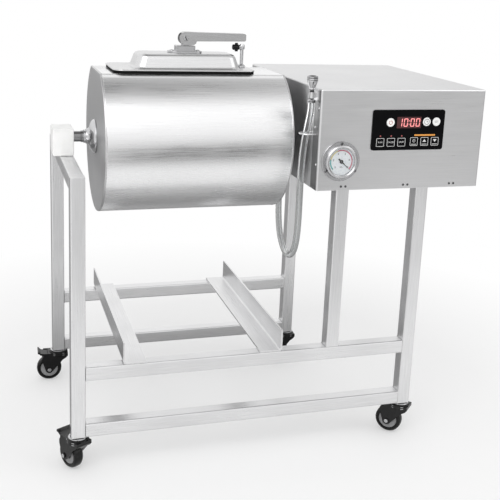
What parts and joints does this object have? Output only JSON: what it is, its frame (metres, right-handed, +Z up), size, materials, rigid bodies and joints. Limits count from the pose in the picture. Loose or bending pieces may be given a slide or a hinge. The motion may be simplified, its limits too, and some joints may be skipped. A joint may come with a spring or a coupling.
{
  "type": "meat vacuum tumbler",
  "caption": "Steel drum with a clamped lid turning on a rolling square-tube frame, driven from a control box with a vacuum gauge, key panel and hanging hose.",
  "frame": {"origin": "on the floor under the middle of the machine's bounding box", "axes": "+X along the drum's axis towards the control box, +Z up, -Y towards the operator and the panel"},
  "size_m": [0.75, 0.41, 0.7304],
  "materials": {
    "frame_steel": "satin brushed stainless steel",
    "bearing_plastic": "white machined plastic",
    "drum_steel": "polished stainless steel",
    "head_steel": "matt stainless steel",
    "hub_chrome": "bright turned steel",
    "gasket_rubber": "black rubber",
    "lid_steel": "bright pressed stainless steel",
    "clamp_chrome": "bright plated steel",
    "black_plastic": "black moulded plastic",
    "box_steel": "brushed stainless sheet",
    "panel_black": "black printed film on plate",
    "key_white": "white plastic",
    "gauge_chrome": "polished chrome",
    "needle_black": "black paint",
    "gauge_glass": "clear glass",
    "motor_aluminium": "cast aluminium",
    "pump_metal": "black painted aluminium",
    "board_green": "green circuit board",
    "hose_clear": "clear flexible plastic",
    "connector_chrome": "polished chrome",
    "clip_steel": "bright steel",
    "caster_black": "black moulded nylon",
    "caster_tyre": "black rubber tread"
  },
  "bodies": {
    "frame": {"front_left_post": "frame_steel", "back_left_post": "frame_steel", "front_right_post": "frame_steel", "front_middle_post": "frame_steel", "back_right_post": "frame_steel", "left_cross_tube": "frame_steel", "front_lower_rail": "frame_steel", "front_upper_rail": "frame_steel", "back_lower_rail": "frame_steel", "back_upper_rail": "frame_steel", "left_angle_rail": "frame_steel", "right_angle_rail": "frame_steel", "bearing_block": "bearing_plastic", "box_cover": "box_steel", "box_base": "box_steel", "control_panel": "panel_black", "gauge_case": "gauge_chrome", "gauge_glass": "gauge_glass", "gearmotor": "motor_aluminium", "vacuum_pump": "pump_metal", "circuit_board": "board_green", "power_inlet": "black_plastic", "vacuum_hose": "hose_clear", "hose_connector": "connector_chrome", "hose_clip": "clip_steel", "hose_ring": "clip_steel"},
    "drum": {"drum_shell": "drum_steel", "drum_left_head": "head_steel", "drum_right_head": "head_steel", "drum_left_hub": "hub_chrome", "drum_drive_hub": "hub_chrome"},
    "lid_group": {"lid_gasket": "gasket_rubber", "lid": "lid_steel", "clamp_bracket": "clamp_chrome", "clamp_pin": "clamp_chrome", "valve_body": "clamp_chrome"},
    "clamp_arm": {"clamp_lever": "clamp_chrome"},
    "valve_wing": {"valve_knob": "black_plastic"},
    "needle": {"gauge_needle": "needle_black"},
    "power_key_body": {"power_key": "key_white"},
    "light_key_body": {"light_key": "key_white"},
    "mode_key_body": {"mode_key": "key_white"},
    "run_key_body": {"run_key": "panel_black"},
    "pause_key_body": {"pause_key": "panel_black"},
    "stop_key_body": {"stop_key": "panel_black"},
    "timer_key_body": {"timer_key": "panel_black"},
    "up_key_body": {"up_key": "panel_black"},
    "down_key_body": {"down_key": "panel_black"},
    "front_left_swivel": {"front_left_fork": "caster_black"},
    "front_left_roller": {"front_left_wheel": "caster_tyre"},
    "front_left_brake": {"front_left_pedal": "caster_black"},
    "back_left_swivel": {"back_left_fork": "caster_black"},
    "back_left_roller": {"back_left_wheel": "caster_tyre"},
    "back_left_brake": {"back_left_pedal": "caster_black"},
    "front_right_swivel": {"front_right_fork": "caster_black"},
    "front_right_roller": {"front_right_wheel": "caster_tyre"},
    "front_right_brake": {"front_right_pedal": "caster_black"},
    "back_right_swivel": {"back_right_fork": "caster_black"},
    "back_right_roller": {"back_right_wheel": "caster_tyre"},
    "back_right_brake": {"back_right_pedal": "caster_black"}
  },
  "joints": [
    {"name": "drum_spin", "type": "hinge", "parent": "frame", "child": "drum", "pos_m": [-0.1155, 0.00375, 0.544], "axis": [1, 0, 0], "continuous": true},
    {"name": "lid_lift", "type": "slide", "parent": "drum", "child": "lid_group", "axis": [0, 0, 1], "range_m": [0, 0.15]},
    {"name": "clamp_swing", "type": "hinge", "parent": "lid_group", "child": "clamp_arm", "pos_m": [-0.121, 0.00375, 0.719], "axis": [0, -1, 0], "range_deg": [0, 100]},
    {"name": "valve_turn", "type": "hinge", "parent": "lid_group", "child": "valve_wing", "pos_m": [-0.0147, 0.00375, 0.7046], "axis": [-1, 0, 0], "range_deg": [0, 90]},
    {"name": "needle_sweep", "type": "hinge", "parent": "frame", "child": "needle", "pos_m": [0.108, -0.2, 0.533], "axis": [0, -1, 0], "range_deg": [0, 264]},
    {"name": "power_key_press", "type": "slide", "parent": "frame", "child": "power_key_body", "axis": [0, 1, 0], "range_m": [0, 0.0008], "stiffness_N_per_m": 400},
    {"name": "light_key_press", "type": "slide", "parent": "frame", "child": "light_key_body", "axis": [0, 1, 0], "range_m": [0, 0.0008], "stiffness_N_per_m": 400},
    {"name": "mode_key_press", "type": "slide", "parent": "frame", "child": "mode_key_body", "axis": [0, 1, 0], "range_m": [0, 0.0008], "stiffness_N_per_m": 400},
    {"name": "run_key_press", "type": "slide", "parent": "frame", "child": "run_key_body", "axis": [0, 1, 0], "range_m": [0, 0.0008], "stiffness_N_per_m": 400},
    {"name": "pause_key_press", "type": "slide", "parent": "frame", "child": "pause_key_body", "axis": [0, 1, 0], "range_m": [0, 0.0008], "stiffness_N_per_m": 400},
    {"name": "stop_key_press", "type": "slide", "parent": "frame", "child": "stop_key_body", "axis": [0, 1, 0], "range_m": [0, 0.0008], "stiffness_N_per_m": 400},
    {"name": "timer_key_press", "type": "slide", "parent": "frame", "child": "timer_key_body", "axis": [0, 1, 0], "range_m": [0, 0.0008], "stiffness_N_per_m": 400},
    {"name": "up_key_press", "type": "slide", "parent": "frame", "child": "up_key_body", "axis": [0, 1, 0], "range_m": [0, 0.0008], "stiffness_N_per_m": 400},
    {"name": "down_key_press", "type": "slide", "parent": "frame", "child": "down_key_body", "axis": [0, 1, 0], "range_m": [0, 0.0008], "stiffness_N_per_m": 400},
    {"name": "front_left_swivel_turn", "type": "hinge", "parent": "frame", "child": "front_left_swivel", "pos_m": [-0.331, -0.179, 0.06], "axis": [0, 0, 1], "continuous": true},
    {"name": "front_left_wheel_roll", "type": "hinge", "parent": "front_left_swivel", "child": "front_left_roller", "pos_m": [-0.33992, -0.16222, 0.025], "axis": [-0.8829, -0.4695, 0], "continuous": true},
    {"name": "front_left_brake_press", "type": "hinge", "parent": "front_left_swivel", "child": "front_left_brake", "pos_m": [-0.3433, -0.15587, 0.0572], "axis": [-0.8829, -0.4695, 0], "range_deg": [0, 15]},
    {"name": "back_left_swivel_turn", "type": "hinge", "parent": "frame", "child": "back_left_swivel", "pos_m": [-0.331, 0.1865, 0.06], "axis": [0, 0, 1], "continuous": true},
    {"name": "back_left_wheel_roll", "type": "hinge", "parent": "back_left_swivel", "child": "back_left_roller", "pos_m": [-0.34999, 0.18716, 0.025], "axis": [-0.0349, -0.9994, 0], "continuous": true},
    {"name": "back_left_brake_press", "type": "hinge", "parent": "back_left_swivel", "child": "back_left_brake", "pos_m": [-0.35718, 0.18741, 0.0572], "axis": [-0.0349, -0.9994, 0], "range_deg": [0, 15]},
    {"name": "front_right_swivel_turn", "type": "hinge", "parent": "frame", "child": "front_right_swivel", "pos_m": [0.269, -0.179, 0.06], "axis": [0, 0, 1], "continuous": true},
    {"name": "front_right_wheel_roll", "type": "hinge", "parent": "front_right_swivel", "child": "front_right_roller", "pos_m": [0.25533, -0.1658, 0.025], "axis": [-0.6947, -0.7193, 0], "continuous": true},
    {"name": "front_right_brake_press", "type": "hinge", "parent": "front_right_swivel", "child": "front_right_brake", "pos_m": [0.25015, -0.1608, 0.0572], "axis": [-0.6947, -0.7193, 0], "range_deg": [0, 15]},
    {"name": "back_right_swivel_turn", "type": "hinge", "parent": "frame", "child": "back_right_swivel", "pos_m": [0.165, 0.1865, 0.06], "axis": [0, 0, 1], "continuous": true},
    {"name": "back_right_wheel_roll", "type": "hinge", "parent": "back_right_swivel", "child": "back_right_roller", "pos_m": [0.146, 0.1865, 0.025], "axis": [0, -1, 0], "continuous": true},
    {"name": "back_right_brake_press", "type": "hinge", "parent": "back_right_swivel", "child": "back_right_brake", "pos_m": [0.1388, 0.1865, 0.0572], "axis": [0, -1, 0], "range_deg": [0, 15]}
  ]
}
